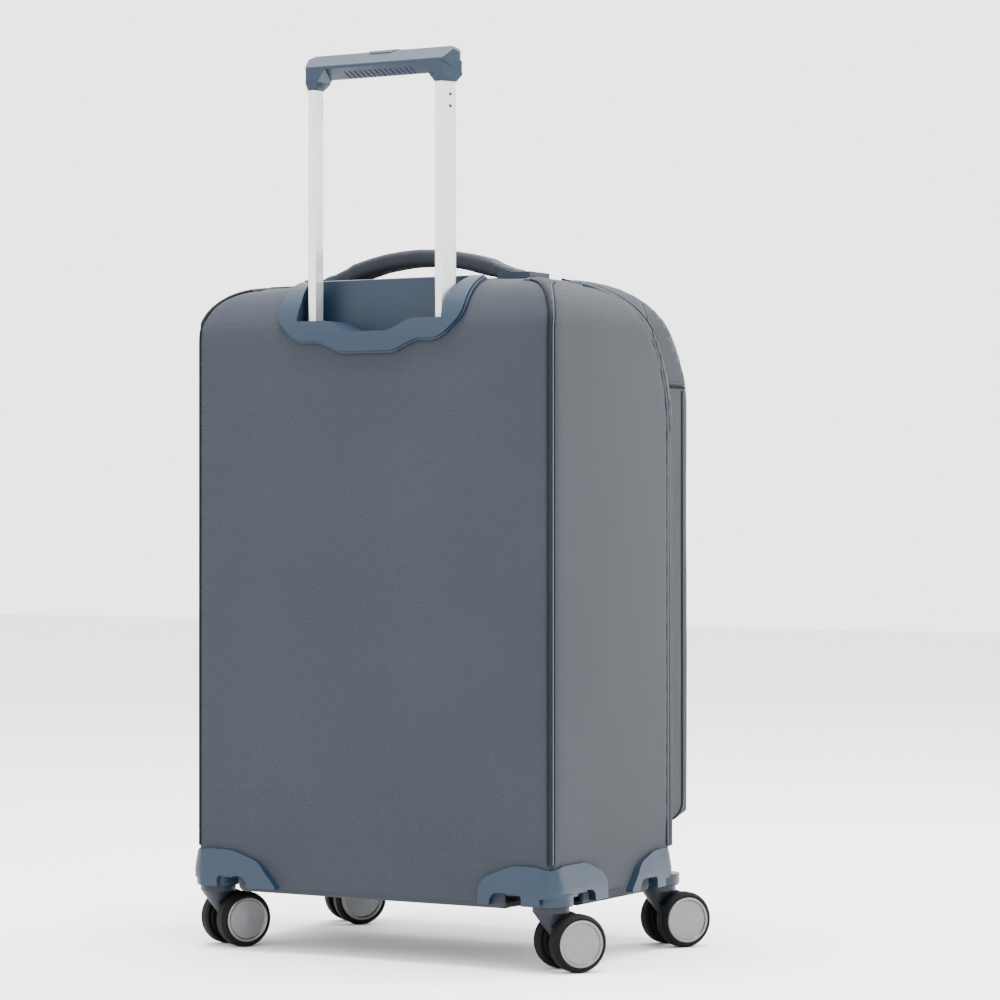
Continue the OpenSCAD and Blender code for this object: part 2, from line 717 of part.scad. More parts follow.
// One wheel on the +x side of its caster
module wheel_shape() {
    translate([0, trail, wheel_r]) rotate([0, 90, 0]) rotate_extrude($fn = 96)
        polygon(rounded([[axle_r + run, wheel_in], [22, wheel_in], [24, wheel_in + 1.5], [wheel_r - 1.5, wheel_in],
            [wheel_r, wheel_in + 4], [wheel_r, wheel_out - 4.5], [wheel_r - 3.4, wheel_out], [cap_r + 0.2, wheel_out],
            [cap_r + 0.2, wheel_out - 3.5], [axle_r + run, wheel_out - 3.5]], [0, 0, 0, 1.2, 3, 3, 1.4, 0.4, 0, 0], 4));
}
// Cap of that wheel: a raised bright ring round a shallow dished disc
module cap_shape() {
    translate([0, trail, wheel_r]) rotate([0, 90, 0]) rotate_extrude($fn = 96)
        polygon(rounded([[0, wheel_out - 3.4], [cap_r, wheel_out - 3.4], [cap_r, wheel_out - 0.2],
            [cap_r - 1.2, wheel_out + 0.8], [cap_r - 3, wheel_out + 0.4], [cap_r - 3.8, wheel_out - 1.1], [0, wheel_out - 0.3]],
            [0, 0, 0.4, 0.8, 0.4, 0.4, 0], 3));
}
module wheel(i, s) { color(black) at_casters([i]) mirror([s, 0, 0]) wheel_shape(); }
module cap(i, s) { color(silver) at_casters([i]) mirror([s, 0, 0]) cap_shape(); }

// ================= zip sliders =================
// Slider in its own frame: it runs along x, the fabric lies below it, its pull turns about y at z = pull_z
pull_z = 3.6;
module slider_shape() {
    difference() {
        union() {
            translate([-6, -4.5, -1.7]) cube([12, 9, 3.4]);
            translate([-2.2, -1.2, 1.6]) cube([4.4, 2.4, 3.6]);
        }
        translate([0, 0, pull_z]) rotate([90, 0, 0]) cylinder(r = 1, h = 10, center = true);
    }
}
module pull_shape() {
    for (s = [-1, 1]) translate([-1, s * 2.1 - 0.6, pull_z - 0.8]) cube([6, 1.2, 1.6]);
    translate([3.6, -2.7, pull_z - 0.8]) cube([22, 5.4, 1.6]);
    translate([0, 0, pull_z]) rotate([90, 0, 0]) cylinder(r = 0.95, h = 5.4, center = true);
}
// The door's slider runs across the shoulder, just behind the door's top seam
module at_door_slider() {
    a = asin((8 - door_split - 6) / 172);
    translate([135, 8, case_top + 2.2 - 172]) rotate([a, 0, 0]) translate([0, 0, 172 + 1.1 + 0.4 + 1.7])
        rotate([0, 0, 180]) children();
}
// The pocket's slider runs up and down the pocket's right wall
module at_pocket_slider() {
    translate([half_w - 7 + 1 + 0.4 + 1.7, pocket_y + 22, 560]) rotate([0, 90, 0]) children();
}
module door_slider() { color(silver) at_door_slider() slider_shape(); }
module door_pull() { color(silver) at_door_slider() pull_shape(); }
module pocket_slider() { color(silver) at_pocket_slider() slider_shape(); }
module pocket_pull() { color(silver) at_pocket_slider() pull_shape(); }

gusset();
back_panel();
front_rim();
shoulder();
lining();
inner_board();
floor_board();
welts();
door_zip_track();
trolley_cup();
outer_tubes();
tube_feet();
handle_boots();
bracket(0, 88, 112);  // bracket_rear_left
bracket(1, 113, 92);  // bracket_rear_right
bracket(2, 92, 106);  // bracket_front_left
bracket(3, 111, 100);  // bracket_front_right
swivel_pins();
bracket_screws();
door_panel();
lower_pocket();
yoke_pocket();
door_zip_flap();
pocket_zip();
mid_tubes();
inner_tubes();
grip();
grip_screws();
release_button();
push_rods();
top_handle();
side_handle();
fork(0);  // fork_rear_left
fork(1);  // fork_rear_right
fork(2);  // fork_front_left
fork(3);  // fork_front_right
axle(0);  // axle_rear_left
axle(1);  // axle_rear_right
axle(2);  // axle_front_left
axle(3);  // axle_front_right
wheel(0, 0);  // wheel_rear_left_a
wheel(0, 1);  // wheel_rear_left_b
wheel(1, 0);  // wheel_rear_right_a
wheel(1, 1);  // wheel_rear_right_b
wheel(2, 0);  // wheel_front_left_a
wheel(2, 1);  // wheel_front_left_b
wheel(3, 0);  // wheel_front_right_a
wheel(3, 1);  // wheel_front_right_b
cap(0, 0);  // cap_rear_left_a
cap(0, 1);  // cap_rear_left_b
cap(1, 0);  // cap_rear_right_a
cap(1, 1);  // cap_rear_right_b
cap(2, 0);  // cap_front_left_a
cap(2, 1);  // cap_front_left_b
cap(3, 0);  // cap_front_right_a
cap(3, 1);  // cap_front_right_b
door_slider();
door_pull();
pocket_slider();
pocket_pull();
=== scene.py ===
import math

import bmesh
import bpy
import numpy as np
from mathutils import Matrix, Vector


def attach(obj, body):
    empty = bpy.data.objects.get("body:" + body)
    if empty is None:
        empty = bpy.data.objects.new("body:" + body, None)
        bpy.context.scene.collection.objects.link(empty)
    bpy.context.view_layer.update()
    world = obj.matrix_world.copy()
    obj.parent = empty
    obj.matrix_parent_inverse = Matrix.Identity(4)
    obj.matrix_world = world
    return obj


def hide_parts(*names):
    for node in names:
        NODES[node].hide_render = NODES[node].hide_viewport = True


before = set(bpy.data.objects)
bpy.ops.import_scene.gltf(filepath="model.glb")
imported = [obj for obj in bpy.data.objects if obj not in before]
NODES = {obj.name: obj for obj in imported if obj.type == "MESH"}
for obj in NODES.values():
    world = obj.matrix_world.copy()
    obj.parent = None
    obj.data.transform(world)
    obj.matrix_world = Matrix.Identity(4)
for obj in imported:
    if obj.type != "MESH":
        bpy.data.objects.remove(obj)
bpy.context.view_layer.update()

CASTERS = ("rear_left", "rear_right", "front_left", "front_right")

# Heights on the door, in metres
YOKE = 0.587
DOOR_BOTTOM = 0.128
DOOR_TOP = 0.72

# Roundings of the case and the pockets: centre, then radius
CORNER_X, CORNER_Z, CORNER_R = 0.162, 0.641, 0.050
REAR_Y, REAR_Z, REAR_R = 0.097, 0.633, 0.058
FRONT_Y, FRONT_Z, FRONT_R = 0.053, 0.541, 0.150
STRIP_INSET = 0.0035
STRIP_R = 0.052
POCKET_ARC_Y, POCKET_ARC_Z, POCKET_ARC_R = 0.008, 0.5212, 0.172
FOOT_Z = 0.107
WRAP_HALF = 0.086


# ---------------------------------------------------------------- materials
def srgb(r, g, b):
    def lin(c):
        c /= 255.0
        return c / 12.92 if c <= 0.04045 else ((c + 0.055) / 1.055) ** 2.4

    return (lin(r), lin(g), lin(b), 1.0)


class Nodes:
    """A small helper to write a shader's node tree."""

    def __init__(self, name):
        self.mat = bpy.data.materials.new(name)
        self.mat.use_nodes = True
        self.tree = self.mat.node_tree
        self.bsdf = self.tree.nodes["Principled BSDF"]
        self.coord = self.new("ShaderNodeTexCoord").outputs["Object"]

    def new(self, kind, **props):
        n = self.tree.nodes.new(kind)
        for k, v in props.items():
            setattr(n, k, v)
        return n

    def link(self, a, b):
        self.tree.links.new(a, b)

    def math(self, op, a, b=None):
        n = self.new("ShaderNodeMath", operation=op)
        for i, v in enumerate((a, b)):
            if v is None:
                continue
            if isinstance(v, (int, float)):
                n.inputs[i].default_value = v
            else:
                self.link(v, n.inputs[i])
        return n.outputs[0]

    def noise(self, scale, detail=3.0, rough=0.55, stretch=None):
        n = self.new("ShaderNodeTexNoise")
        n.inputs["Scale"].default_value = scale
        n.inputs["Detail"].default_value = detail
        n.inputs["Roughness"].default_value = rough
        if stretch:
            m = self.new("ShaderNodeMapping")
            m.inputs["Scale"].default_value = stretch
            self.link(self.coord, m.inputs["Vector"])
            self.link(m.outputs[0], n.inputs["Vector"])
        else:
            self.link(self.coord, n.inputs["Vector"])
        return n.outputs["Fac"]

    def span(self, fac, lo, hi, a=0.3, b=0.7):
        n = self.new("ShaderNodeMapRange")
        self.link(fac, n.inputs["Value"])
        n.inputs["From Min"].default_value = a
        n.inputs["From Max"].default_value = b
        n.inputs["To Min"].default_value = lo
        n.inputs["To Max"].default_value = hi
        return n.outputs["Result"]

    def tint(self, colour, fac):
        """The colour, multiplied by a grey value."""
        n = self.new("ShaderNodeMix", data_type="RGBA", blend_type="MULTIPLY")
        n.inputs["Factor"].default_value = 1.0
        n.inputs["A"].default_value = colour
        self.link(fac, n.inputs["B"])
        self.link(n.outputs["Result"], self.bsdf.inputs["Base Color"])

    def bump(self, height, strength, distance):
        n = self.new("ShaderNodeBump")
        n.inputs["Strength"].default_value = strength
        n.inputs["Distance"].default_value = distance
        self.link(height, n.inputs["Height"])
        self.link(n.outputs[0], self.bsdf.inputs["Normal"])

    def set(self, **values):
        for k, v in values.items():
            self.bsdf.inputs[k.replace("_", " ")].default_value = v


def fabric(name, colour, pitch=0.0011, contrast=0.10, rough=0.9, sheen=0.06):
    m = Nodes(name)
    sep = m.new("ShaderNodeSeparateXYZ")
    m.link(m.coord, sep.inputs[0])
    k = 2 * math.pi / pitch
    across = m.math("SINE", m.math("MULTIPLY", m.math("ADD", sep.outputs[0], sep.outputs[1]), k))
    slanted = m.math("ADD", sep.outputs[2], m.math("MULTIPLY", sep.outputs[1], 0.13))
    up = m.math("SINE", m.math("MULTIPLY", slanted, k))
    weave = m.math("MULTIPLY", across, up)
    slub = m.noise(900, 2.0, 0.6)
    cloud = m.noise(7.0, 3.0, 0.5)
    height = m.math("ADD", m.math("MULTIPLY", weave, 0.35), slub)
    shade = m.math("MULTIPLY", m.span(slub, 1 - contrast, 1 + contrast), m.span(cloud, 0.95, 1.05))
    m.tint(colour, shade)
    m.bump(height, 0.45, 0.0005)
    m.set(Roughness=rough, Specular_IOR_Level=0.15, Sheen_Weight=sheen, Sheen_Roughness=0.5)
    return m.mat


def plastic(name, colour, rough=0.42, grain=0.25, wear=0.06, spec=0.28):
    m = Nodes(name)
    fine = m.noise(1400, 2.0, 0.6)
    broad = m.noise(24.0, 4.0, 0.6)
    m.tint(colour, m.span(broad, 1 - wear, 1 + wear))
    m.link(m.span(broad, rough - 0.05, rough + 0.08), m.bsdf.inputs["Roughness"])
    m.bump(fine, grain, 0.0002)
    m.set(Specular_IOR_Level=spec)
    return m.mat


def metal(name, colour, rough=0.3, stretch=(1, 1, 0.02), metallic=1.0, streak=0.08):
    m = Nodes(name)
    lines = m.noise(1600, 3.0, 0.65, stretch)
    broad = m.noise(14.0, 3.0, 0.6)
    m.tint(colour, m.math("MULTIPLY", m.span(lines, 1 - streak, 1 + streak), m.span(broad, 0.97, 1.03)))
    m.link(m.span(lines, rough - 0.06, rough + 0.10), m.bsdf.inputs["Roughness"])
    m.bump(lines, 0.15, 0.0001)
    m.set(Metallic=metallic)
    return m.mat


MAT = {
    "back": fabric("back_fabric", srgb(38, 42, 49)),
    "side": fabric("side_fabric", srgb(38, 42, 47)),
    "strip": fabric("strip_fabric", srgb(25, 29, 35), pitch=0.0016),
    "piping": fabric("piping_fabric", srgb(68, 74, 81), pitch=0.0014),
    # seam: near-black cords laid in the seam grooves as painted shade, standing in for the shadow there
    "seam": fabric("painted_seam_shadow", srgb(12, 14, 17), pitch=0.0014, sheen=0.0),
    "lining": fabric("lining_fabric", srgb(60, 66, 74), pitch=0.0008, rough=0.75),
    "handle": fabric("handle_wrap", srgb(34, 37, 44), pitch=0.0009, rough=0.8, sheen=0.05),
    "tape": fabric("zip_tape", srgb(24, 27, 32), pitch=0.0012, rough=0.85, sheen=0.03),
    "thread": fabric("thread", srgb(64, 70, 78), pitch=0.0006, sheen=0.1),
    "board": plastic("board", srgb(44, 48, 54), rough=0.7, grain=0.5),
    "slate": plastic("slate_plastic", srgb(14, 31, 47), rough=0.40),
    "navy": plastic("navy_plastic", srgb(6, 14, 24), rough=0.42),
    "black": plastic("black_plastic", srgb(14, 15, 17), rough=0.5),
    "tyre": plastic("tyre_rubber", srgb(6, 6, 6), rough=0.7, grain=0.5, wear=0.15, spec=0.1),
    "tube": metal("tube_aluminium", srgb(196, 197, 199), rough=0.34, metallic=0.75),
    "steel": metal("steel", srgb(150, 152, 156), rough=0.32),
    "rivet": metal("rivet_dark", srgb(52, 54, 58), rough=0.4, stretch=(1, 1, 1)),
    "cap": metal("cap_silver", srgb(104, 105, 107), rough=0.33, stretch=(1, 1, 1), metallic=0.9),
    "zipper": metal("zip_metal", srgb(60, 64, 70), rough=0.35, stretch=(1, 1, 1)),
    "teeth": plastic("zip_teeth", srgb(18, 20, 24), rough=0.35),
}


def paint(obj, mat):
    obj.data.materials.clear()
    obj.data.materials.append(MAT[mat])


# ---------------------------------------------------------------- hard CAD nodes
def hard(node, mat, bevel=0.0005, angle=32):
    """Shows a CAD node with softened edges."""
    o = NODES[node]
    paint(o, mat)
    weld = o.modifiers.new("weld", "WELD")
    weld.merge_threshold = 1e-6
    if bevel:
        b = o.modifiers.new("bevel", "BEVEL")
        b.width = bevel
        b.segments = 2
        b.limit_method = "ANGLE"
        b.angle_limit = math.radians(angle)
        b.harden_normals = False
    w = o.modifiers.new("normals", "WEIGHTED_NORMAL")
    w.keep_sharp = False


# ---------------------------------------------------------------- soft pieces
def smooth_angle(mesh, degrees=38):
    for p in mesh.polygons:
        p.use_smooth = True
    mesh.set_sharp_from_angle(angle=math.radians(degrees))


def new_object(name, bm, body, mat, angle=38):
    mesh = bpy.data.meshes.new(name)
    bm.to_mesh(mesh)
    bm.free()
    smooth_angle(mesh, angle)
    o = bpy.data.objects.new(name, mesh)
    bpy.context.scene.collection.objects.link(o)
    paint(o, mat)
    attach(o, body)
    return o


def diced(node, step):
    """A welded copy of a CAD node's mesh, cut by planes every step metres along each axis."""
    bm = bmesh.new()
    bm.from_mesh(NODES[node].data)
    bmesh.ops.remove_doubles(bm, verts=bm.verts, dist=2e-6)
    co = np.array([v.co for v in bm.verts])
    lo, hi = co.min(0), co.max(0)
    for axis in range(3):
        cuts = set(np.round(np.arange(lo[axis] + step / 2, hi[axis], step), 5))
        normal = Vector((axis == 0, axis == 1, axis == 2))
        for c in sorted(cuts):
            geom = bm.verts[:] + bm.edges[:] + bm.faces[:]
            bmesh.ops.bisect_plane(bm, geom=geom, dist=1e-6, plane_co=normal * c, plane_no=normal)
    bmesh.ops.triangulate(bm, faces=[f for f in bm.faces if len(f.verts) > 4])
    return bm


def soft(node, body, mat, shape, step):
    """Stands a softly shaped mesh in for a soft CAD node. shape(co, normal) gives each point's offset."""
    bm = diced(node, step * (1))
    o = new_object("soft_" + node, bm, body, mat, 55)
    mesh = o.data
    n = len(mesh.vertices)
    co = np.empty(n * 3)
    mesh.vertices.foreach_get("co", co)
    co = co.reshape(-1, 3)
    nor = np.empty(n * 3)
    mesh.vertices.foreach_get("normal", nor)
    nor = nor.reshape(-1, 3)
    mesh.vertices.foreach_set("co", (co + shape(co, nor)).reshape(-1))
    mesh.update()
    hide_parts(node)
    return o


def ripple(co, size, seed):
    """Smooth seeded noise in about -1..1, with waves of about the given size."""
    r = np.random.default_rng(seed)
    out = np.zeros(len(co))
    for octave in range(3):
        k = r.normal(size=(5, 3))
        k /= np.linalg.norm(k, axis=1)[:, None]
        phase = r.uniform(0, 6.28, 5)
        out += (np.sin(co @ k.T * (6.28 / size) * 1.9**octave + phase)).sum(1) / 5 / 1.6**octave
    return out / 1.6


def rise(d, width):
    """0 at a seam, 1 from width away, with the round shoulder of stuffed cloth."""
    t = np.clip(d / width, 0, 1)
    return np.sqrt(1 - (1 - t) ** 2)


def corner_x(z, inset=0.0):
    """Half the case's width at height z: its top corners round off."""
    r = CORNER_R - inset
    return CORNER_X + np.sqrt(r * r - np.clip(z - CORNER_Z, 0, r) ** 2)


def arc_gap(y, z, cy, cz, r, side):
    """Distance inwards from an edge that is upright below cz and an arc above it, on the side of cy given."""
    u = np.clip((y - cy) * side, 0, None)
    w = np.clip(z - cz, 0, None)
    return np.where(z < cz, r - (y - cy) * side, r - np.hypot(u, w))


def case_skin(co):
    """Which face of the case's outer surface each point lies on, and the way out from it."""
    x, y, z = co.T
    side = corner_x(z) - np.abs(x) < 0.0006
    rear = arc_gap(y, z, REAR_Y, REAR_Z, REAR_R, 1)
    fore = arc_gap(y, z, FRONT_Y, FRONT_Z, FRONT_R, -1)
    back = ~side & (rear < 0.0006) & (y > 0.097)
    front = ~side & ~back & (z > 0.541) & (fore < 0.0006)
    out = np.zeros_like(co)
    out[side, 0] = np.where(z > 0.641, np.sign(x) * (np.abs(x) - 0.162), np.sign(x))[side]
    out[side, 2] = np.clip(z - 0.641, 0, None)[side]
    out[back, 1] = np.clip(y - 0.097, 0.0001, None)[back]
    out[back, 2] = np.clip(z - 0.633, 0, None)[back]
    out[front, 1] = np.clip(y - 0.053, None, 0)[front]
    out[front, 2] = (z - 0.541)[front]
    out /= np.maximum(np.linalg.norm(out, axis=1), 1e-9)[:, None]
    return side, back, front, out


def back_shape(co, nor):
    x, y, z = co.T
    side, back, front, out = case_skin(co)
    edge = arc_gap(np.abs(x), z, 0.162, 0.641, 0.0465, 1)
    d = np.clip(np.minimum(edge, z - 0.0645), 0, None)
    cup = np.clip(np.maximum(np.abs(x) - 0.116, 0.612 - z) / 0.02, 0, 1)
    foot = np.clip((z - 0.109) / 0.02, 0, 1)
    puff = 0.0016 * rise(d, 0.012) - 0.0009
    puff += 0.0016 * np.clip(1 - (x / 0.2085) ** 2, 0, 1) * np.clip(1 - ((z - 0.36) / 0.27) ** 2, 0, 1)
    puff += 0.0006 * ripple(co, 0.20, 1) * rise(d, 0.06)
    puff += 0.00035 * np.sin(z * 260 + 3 * np.sin(z * 31)) * np.exp(-d / 0.010)
    puff = np.where(cup < 1, np.minimum(puff, 0.0001), puff) * np.where(cup < 1, cup, 1)
    return out * (puff * foot * (back | (y > 0.1) & front))[:, None]


def side_shape(co, nor):
    x, y, z = co.T
    side, back, front, out = case_skin(co)
    d = np.minimum(arc_gap(y, z, FRONT_Y, FRONT_Z, FRONT_R, -1), arc_gap(y, z, REAR_Y, REAR_Z, STRIP_R, 1))
    d = np.clip(d, 0, None)
    foot = np.clip((z - 0.109) / 0.03, 0, 1)
    puff = 0.0020 * rise(d, 0.014) - 0.0009
    puff += 0.0030 * np.clip(1 - ((y - 0.03) / 0.125) ** 2, 0, 1) * np.clip(1 - ((z - 0.4) / 0.3) ** 2, 0, 1)
    puff += 0.0007 * ripple(co, 0.18, 2) * rise(d, 0.06)
    puff += 0.00035 * np.sin(z * 240 + 2 * np.sin(z * 27)) * np.exp(-d / 0.010)
    top = 0.0004 * ripple(co, 0.12, 3)
    puff = np.where(side, puff, top)
    boot = ((x > 0.2) & (np.abs(y - 0.03) < 0.030) & (np.abs(np.abs(z - 0.38) - 0.118) < 0.028)) | (
        (z > 0.68) & (np.abs(y - 0.045) < 0.030) & (np.abs(np.abs(x) - 0.118) < 0.030)
    )
    return out * (puff * (side | front) * foot * ~boot)[:, None]


def pocket_skin(co):
    """Points on the outside of the pockets, and the way out from them."""
    x, y, z = co.T
    ax = np.abs(x)
    out = np.zeros_like(co)
    side = 0.205 - ax < 0.0006
    plan = (ax > 0.187) & (y < -0.146) & (0.018 - np.hypot(ax - 0.187, y + 0.146) < 0.0008)
    u = np.clip(-(y - POCKET_ARC_Y), 0, None)
    depth = np.where(z > POCKET_ARC_Z, POCKET_ARC_R - np.hypot(u, z - POCKET_ARC_Z), y + 0.164)
    front = (y < -0.1) & (depth < 0.0008)
    low = (z < 0.162) & (y < -0.130) & (0.034 - np.hypot(y + 0.130, z - 0.162) < 0.0008)
    out[front, 1] = -1
    arc = front & (z > POCKET_ARC_Z)
    out[arc, 1] = (y - POCKET_ARC_Y)[arc]
    out[arc, 2] = (z - POCKET_ARC_Z)[arc]
    out[low, 1] = (y + 0.130)[low]
    out[low, 2] = (z - 0.162)[low]
    out[plan, 0] = (np.sign(x) * (ax - 0.187))[plan]
    out[plan, 1] = (y + 0.146)[plan]
    out[plan, 2] = 0
    only = side & ~plan & ~front & ~low
    out[only] = 0
    out[only, 0] = np.sign(x)[only]
    out /= np.maximum(np.linalg.norm(out, axis=1), 1e-9)[:, None]
    return side | front | low | plan, out


def door_shape(seed, z0, z1, bulge=0.0):
    def shape(co, nor):
        x, y, z = co.T
        skin, out = pocket_skin(co)
        d = np.clip(np.minimum(z - z0, z1 - z), 0, None)
        puff = 0.0016 * rise(d, 0.012) - 0.0012
        puff += bulge * rise(d, 0.10) * np.clip(1 - (x / 0.215) ** 4, 0, 1) * (y < -0.15)
        puff += 0.0008 * ripple(co, 0.16, seed) * rise(d, 0.05)
        near_zip = np.abs(y + 0.142) < 0.006
        puff = np.where(near_zip & (np.abs(x) > 0.2), np.minimum(puff, 0.0), puff)
        return out * (puff * skin)[:, None]

    return shape


def faint(amount, size, seed):
    def shape(co, nor):
        return nor * (amount * ripple(co, size, seed))[:, None]

    return shape


def handle_shape(centre, along_axis):
    """Narrower beyond the wrap in the middle of a carry handle, with a soft step."""

    def shape(co, nor):
        a = np.abs(co[:, along_axis] - centre)
        step = 0.0016 / (1 + np.exp(-(a - WRAP_HALF) / 0.0015))
        step = step * np.clip((0.112 - a) / 0.006, 0, 1)
        return nor * (0.0004 * ripple(co, 0.03, 15) - step)[:, None]

    return shape


soft("back_panel", "case", "back", back_shape, 0.008)
soft("gusset", "case", "side", side_shape, 0.009)
soft("shoulder", "case", "side", faint(0.0001, 0.09, 5), 0.010)
soft("front_rim", "case", "side", faint(0.0002, 0.06, 6), 0.012)
soft("lining", "case", "lining", faint(0.00015, 0.05, 7), 0.03)
soft("door_panel", "door", "side", faint(0.0003, 0.08, 8), 0.016)
soft("lower_pocket", "door", "side", door_shape(9, DOOR_BOTTOM, YOKE, 0.0020), 0.010)
soft("yoke_pocket", "door", "side", door_shape(10, YOKE, DOOR_TOP), 0.010)
soft("welts", "case", "strip", faint(0.0001, 0.03, 11), 0.012)
soft("door_zip_track", "case", "tape", faint(0.00005, 0.03, 12), 0.02)
soft("door_zip_flap", "door", "tape", faint(0.00005, 0.03, 13), 0.02)
soft("pocket_zip", "door", "tape", faint(0.00005, 0.03, 14), 0.02)
top_grip = soft("top_handle", "top_carry", "side", handle_shape(0, 0), 0.004)
side_grip = soft(
    "side_handle", "side_carry", "side", handle_shape(0.38, 2), 0.004
)
for o, axis, mid in ((top_grip, 0, 0.0), (side_grip, 2, 0.38)):
    o.data.materials.append(MAT["handle"])
    for f in o.data.polygons:
        if abs(f.center[axis] - mid) < WRAP_HALF:
            f.material_index = 1


# ---------------------------------------------------------------- piping, painted seam shadows, stitches and zip teeth
def frames(points):
    """Tangents and two cross directions along a polyline, without twist."""
    p = np.array(points, float)
    t = np.gradient(p, axis=0)
    t /= np.linalg.norm(t, axis=1)[:, None]
    u = np.cross(t[0], (0.31, 0.87, 0.21))
    us = []
    for k in t:
        u = u - k * u.dot(k)
        u /= np.linalg.norm(u)
        us.append(u)
    us = np.array(us)
    return p, t, us, np.cross(t, us)


def resample(points, step):
    """The same polyline with evenly spaced points."""
    p = np.array(points, float)
    s = np.r_[0, np.cumsum(np.linalg.norm(np.diff(p, axis=0), axis=1))]
    n = max(2, int(round(s[-1] / step)) + 1)
    q = np.linspace(0, s[-1], n)
    return np.c_[[np.interp(q, s, p[:, k]) for k in range(3)]].T


def tube(bm, points, radius, sides=8):
    """Adds a closed round cord along a polyline."""
    p, t, u, v = frames(points)
    ring = np.linspace(0, 2 * math.pi, sides, endpoint=False)
    rows = []
    for c, e, f in zip(p, u, v):
        rows.append([bm.verts.new(c + radius * (math.cos(a) * e + math.sin(a) * f)) for a in ring])
    for a, b in zip(rows, rows[1:]):
        for k in range(sides):
            bm.faces.new((a[k], a[(k + 1) % sides], b[(k + 1) % sides], b[k]))
    bm.faces.new(rows[0][::-1])
    bm.faces.new(rows[-1])


def piping(name, body, mat, paths, radius, step=0.004):
    """One piece made of round cords along the paths."""
    bm = bmesh.new()
    for path in paths:
        tube(bm, resample(path, step), radius)
    bmesh.ops.recalc_face_normals(bm, faces=bm.faces)
    o = new_object(name, bm, body, mat, 60)
    return o


def beads(name, body, mat, paths, pitch, size, sides=6):
    """Small rounded beads along paths: stitches lie along the path, zip teeth across it."""
    bm = bmesh.new()
    along, across, high = size
    for points, up in paths:
        p, t, u, v = frames(resample(points, pitch))
        for c, k in zip(p, t):
            n = np.array(up(c), float)
            w = np.cross(k, n)
            w /= np.linalg.norm(w)
            n = np.cross(w, k)
            rings = []
            for f, r in ((-1, 0.35), (-0.55, 1.0), (0.55, 1.0), (1, 0.35)):
                if along > across:
                    axis, a, b = k * along, w * across, n * high
                else:
                    axis, a, b = w * across, k * along, n * high
                rings.append([bm.verts.new(c + axis * f + r * (math.cos(q) * a + math.sin(q) * b))
                              for q in np.linspace(0, 2 * math.pi, sides, endpoint=False)])
            for a, b in zip(rings, rings[1:]):
                for i in range(sides):
                    bm.faces.new((a[i], a[(i + 1) % sides], b[(i + 1) % sides], b[i]))
            bm.faces.new(rings[0][::-1])
            bm.faces.new(rings[-1])
    bmesh.ops.recalc_face_normals(bm, faces=bm.faces)
    o = new_object(name, bm, body, mat, 60)
    return o


def back_seam(s, lift):
    """Where the back panel meets the strip that wraps the rear corner."""
    zs = np.r_[np.linspace(FOOT_Z, REAR_Z, 40), np.linspace(0.636, 0.6872, 24)]
    y = 0.097 + np.sqrt(np.clip((0.058 + lift) ** 2 - np.clip(zs - 0.633, 0, None) ** 2, 0, None))
    return np.c_[s * corner_x(zs, STRIP_INSET), y, zs]


def side_seam(s, lift):
    """Where that strip meets the side panel."""
    zs = np.r_[np.linspace(FOOT_Z, REAR_Z, 40), np.linspace(0.636, 0.6846, 24)]
    y = 0.097 + np.sqrt(np.clip(0.052**2 - np.clip(zs - 0.633, 0, None) ** 2, 0, None))
    return np.c_[s * (corner_x(zs) + lift), y, zs]


def front_edge(s, inset, lift=0.0, last=90):
    """Along the side panel's front edge and over the top, inset from that edge."""
    a = np.radians(np.linspace(0, last, 40))
    r = 0.150 - inset
    y = np.r_[np.full(30, 0.053 - r), 0.053 - r * np.cos(a)]
    z = np.r_[np.linspace(FOOT_Z, 0.538, 30), 0.541 + r * np.sin(a)]
    return np.c_[s * (corner_x(z) + lift), y, z]


def door_edge(s):
    """Along the door's edge, from its foot to the top of the shoulder."""
    r = 0.1592
    a_end = math.acos((0.051 + 0.062) / r)
    a = np.linspace(0, a_end, 30)
    y = np.r_[np.full(26, 0.051 - r), 0.051 - r * np.cos(a)]
    z = np.r_[np.linspace(0.150, 0.530, 26), 0.533 + r * np.sin(a)]
    rounded = 0.159 + np.sqrt(np.clip(0.0465**2 - np.clip(z - 0.647, 0, None) ** 2, 0, None))
    x = np.where(z > 0.647, rounded, 0.2055)
    return np.c_[s * x, y, z]


def round_pocket(z, grow):
    """Round the pocket at one height, from the back of one side to the other."""
    q = np.radians(np.linspace(0, 90, 9))
    right = np.c_[0.187 + (0.018 + grow) * np.cos(q), -0.146 - (0.018 + grow) * np.sin(q)]
    half = np.r_[[[0.205 + grow, -0.114]], right]
    ring = np.r_[half, half[::-1] * (-1, 1)]
    return np.c_[ring, np.full(len(ring), z)]


def pocket_u(y, grow):
    """Down one side of the lower pocket, under it and up the other."""
    r = 0.020 + grow
    q = np.radians(np.linspace(0, 90, 9))
    turn = np.c_[0.185 + r * np.cos(q), 0.148 - r * np.sin(q)]
    half = np.r_[[[0.205 + grow, 0.5815]], turn]
    ring = np.r_[half, half[::-1] * (-1, 1)]
    return np.c_[ring[:, 0], np.full(len(ring), y), ring[:, 1]]


BOTH = (-1, 1)
# The cords painted with MAT["seam"] are painted shade: dark cords laid where the seam grooves hold only
# shadow.
piping("corner_seam_shadows", "case", "seam",
       [f(s, 0.0001) for s in BOTH for f in (back_seam, side_seam)], 0.0010)
piping("corner_ribs", "case", "piping",
       [side_seam(s, 0.0002) + np.array((0, 0.0022, 0)) for s in BOTH], 0.0006)
piping("front_piping", "case", "piping", [front_edge(s, 0.0020, 0.0002) for s in BOTH], 0.0016)
piping("front_shadow_seams", "case", "seam",
       [front_edge(s, i, 0.0, 86) for s in BOTH for i in (0.0062, -0.0016)], 0.0012)
piping("top_seam", "case", "seam", [[(-0.160, 0.095, 0.6910), (0.160, 0.095, 0.6910)]], 0.0010)
piping("yoke_seam", "door", "seam", [round_pocket(YOKE, -0.0004)], 0.0009)


